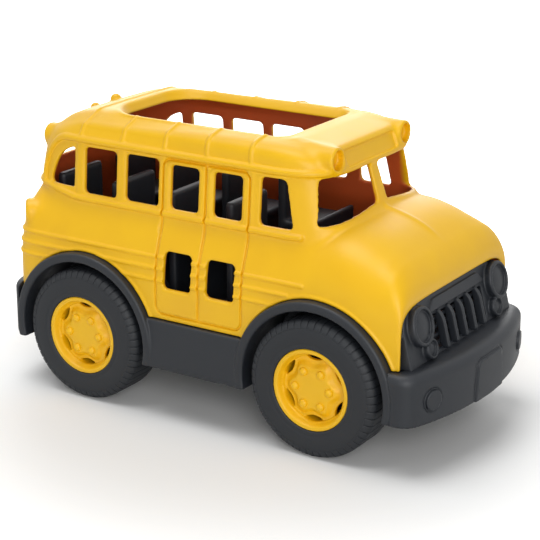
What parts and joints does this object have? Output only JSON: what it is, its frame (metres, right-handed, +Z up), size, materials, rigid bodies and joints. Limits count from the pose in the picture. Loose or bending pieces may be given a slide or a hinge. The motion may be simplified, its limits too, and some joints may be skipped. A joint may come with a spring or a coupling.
{
  "type": "toy bus",
  "caption": "Push-along toy bus with a moulded shell, hand opening in the roof, bench seats, fender flares, wrap-round bumpers and wheels that turn on plain axles.",
  "frame": {"origin": "ground level under the middle of the bus", "axes": "+X forward, +Y to the left of the bus, +Z up"},
  "size_m": [0.268, 0.1304, 0.1561],
  "materials": {
    "yellow_plastic": "satin moulded",
    "charcoal_plastic": "satin moulded",
    "axle_plastic": "plain moulded",
    "tyre_plastic": "fine moulded texture",
    "hub_plastic": "satin moulded"
  },
  "bodies": {
    "bus_body": {"body_shell": "yellow_plastic", "chassis": "charcoal_plastic", "seat_deck": "charcoal_plastic", "grille_panel": "charcoal_plastic", "front_bumper": "charcoal_plastic", "rear_bumper": "charcoal_plastic"},
    "front_wheelset": {"front_axle": "axle_plastic", "tyre_front_left": "tyre_plastic", "tyre_front_right": "tyre_plastic", "hub_front_left": "hub_plastic", "hub_front_right": "hub_plastic"},
    "rear_wheelset": {"rear_axle": "axle_plastic", "tyre_rear_left": "tyre_plastic", "tyre_rear_right": "tyre_plastic", "hub_rear_left": "hub_plastic", "hub_rear_right": "hub_plastic"}
  },
  "joints": [
    {"name": "front_axle_spin", "type": "hinge", "parent": "bus_body", "child": "front_wheelset", "pos_m": [0.066, 0, 0.0363], "axis": [0, 1, 0], "continuous": true},
    {"name": "rear_axle_spin", "type": "hinge", "parent": "bus_body", "child": "rear_wheelset", "pos_m": [-0.078, 0, 0.0363], "axis": [0, 1, 0], "continuous": true}
  ]
}
